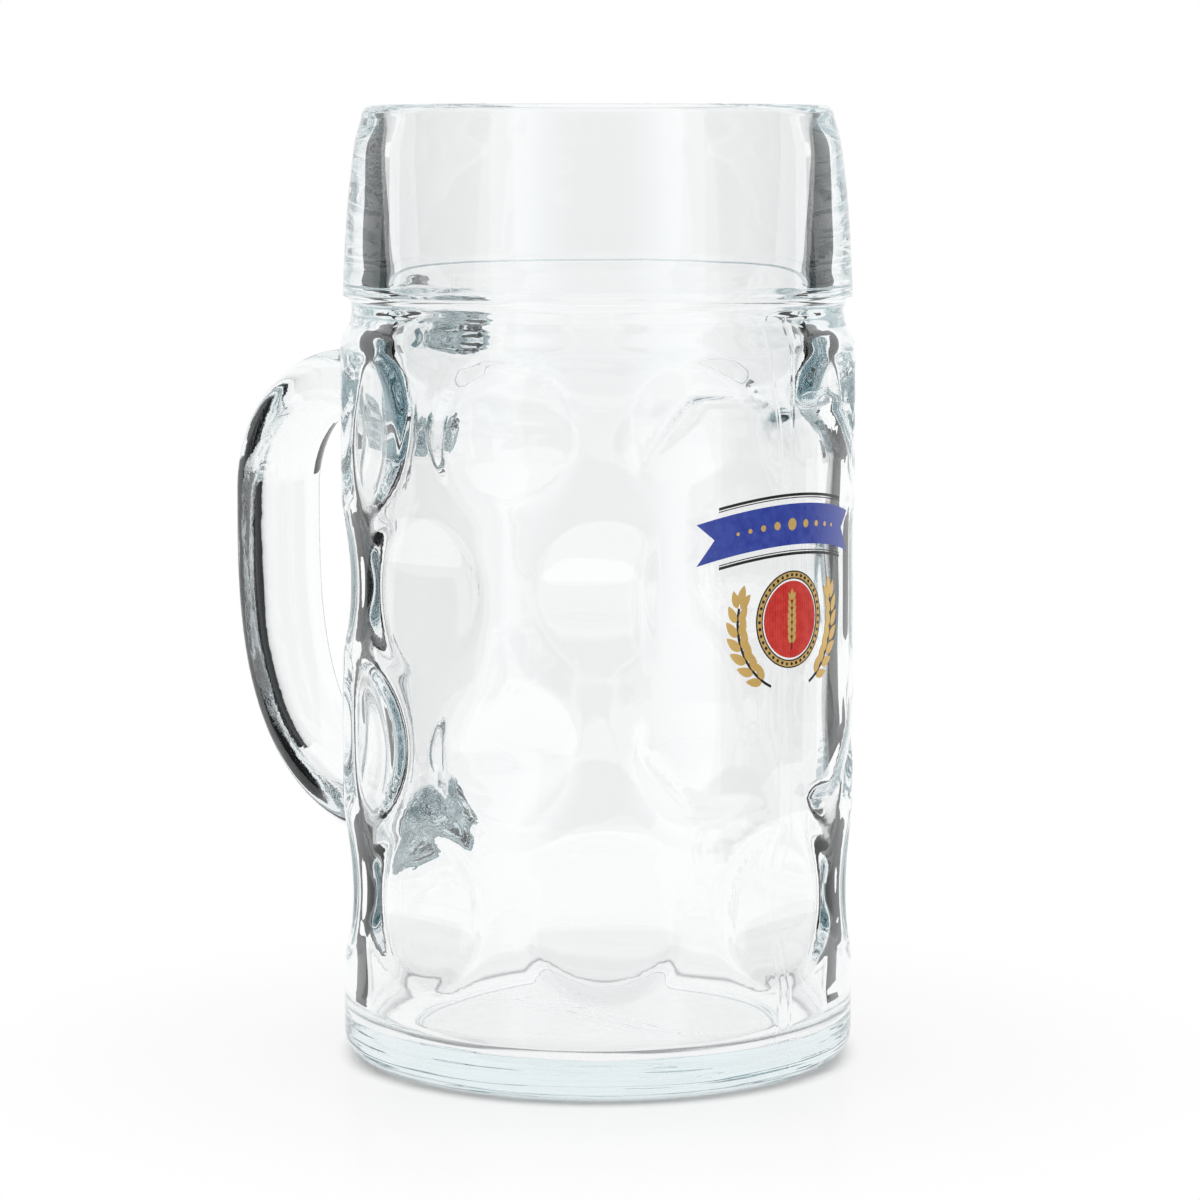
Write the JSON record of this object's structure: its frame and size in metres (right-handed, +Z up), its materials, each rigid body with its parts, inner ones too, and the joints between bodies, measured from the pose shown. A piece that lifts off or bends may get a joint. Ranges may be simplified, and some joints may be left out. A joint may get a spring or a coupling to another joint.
{
  "type": "beer mug",
  "caption": "Tall dimpled beer mug of thick clear glass with a smooth drinking band, a stout loop handle and a small coloured enamel print on a smooth panel.",
  "frame": {"origin": "on the mug's axis at table height", "axes": "+Z up; -X through the handle; +X through the middle of the print"},
  "size_m": [0.1631, 0.109, 0.202],
  "materials": {
    "body_glass": "clear, fire-polished, a faint grey-green tint in thick places",
    "handle_glass": "clear, pressed, faint chill marks on the skin",
    "gold_enamel": "satin fired enamel",
    "red_enamel": "satin fired enamel",
    "blue_enamel": "satin fired enamel",
    "black_enamel": "satin fired enamel"
  },
  "bodies": {
    "root": {"mug_body": "body_glass", "handle": "handle_glass", "print_blue_ribbon": "blue_enamel", "print_black_rule_upper": "black_enamel", "print_black_rule_lower": "black_enamel", "print_gold_rim": "gold_enamel", "print_red_field": "red_enamel", "print_gold_ear_middle": "gold_enamel", "print_gold_ear_left": "gold_enamel", "print_gold_ear_right": "gold_enamel"}
  },
  "joints": []
}
